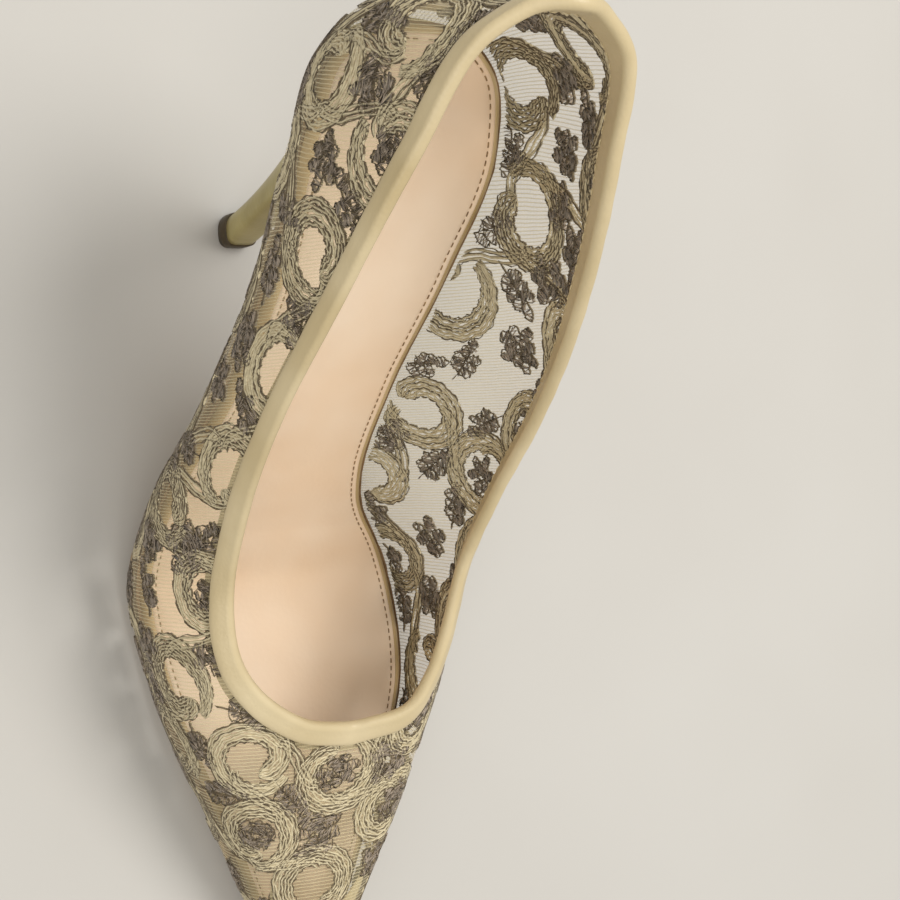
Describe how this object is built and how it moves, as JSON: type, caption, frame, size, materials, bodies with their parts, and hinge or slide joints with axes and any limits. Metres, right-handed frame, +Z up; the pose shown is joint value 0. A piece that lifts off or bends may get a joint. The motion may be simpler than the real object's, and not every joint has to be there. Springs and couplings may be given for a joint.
{
  "type": "high heel pump",
  "caption": "Pointed-toe pump with a sheer embroidered net upper, leather-bound topline, padded leather sock and a slim covered heel.",
  "frame": {"origin": "on the floor under the middle of the shoe's bounding box", "axes": "+X towards the outer side of the right foot, +Y towards the toe, +Z up"},
  "size_m": [0.0806, 0.2358, 0.1603],
  "materials": {
    "net": "sheer ribbed net with thread embroidery",
    "binding_leather": "smooth semi-matte leather",
    "tape": "woven tape",
    "nude_leather": "smooth leather",
    "puff_sheet": "stiffened sheet",
    "sock_leather": "smooth matte leather",
    "foam": "soft foam",
    "wrap_leather": "thin leather",
    "board": "pressed fibre board",
    "shank_steel": "pressed spring steel",
    "fixing_steel": "plain steel",
    "sole_leather": "smooth sole leather",
    "filler": "felt",
    "heel_leather": "smooth covered heel",
    "heel_plastic": "moulded plastic",
    "top_piece_rubber": "hard rubber"
  },
  "bodies": {
    "root": {"mesh_upper": "net", "topline_binding": "binding_leather", "topline_tape": "tape", "back_strip": "nude_leather", "back_seam_tape": "tape", "toe_puff": "puff_sheet", "sock_lining": "sock_leather", "sock_foam": "foam", "sock_edge_wrap": "wrap_leather", "insole_board": "board", "shank": "shank_steel", "shank_rivets": "fixing_steel", "heel_screw": "fixing_steel", "heel_nails": "fixing_steel", "outsole": "sole_leather", "bottom_filler": "filler", "heel_cover": "heel_leather", "heel_core": "heel_plastic", "heel_reinforcement_pin": "fixing_steel", "top_piece_dowel": "fixing_steel", "top_piece": "top_piece_rubber"}
  },
  "joints": []
}
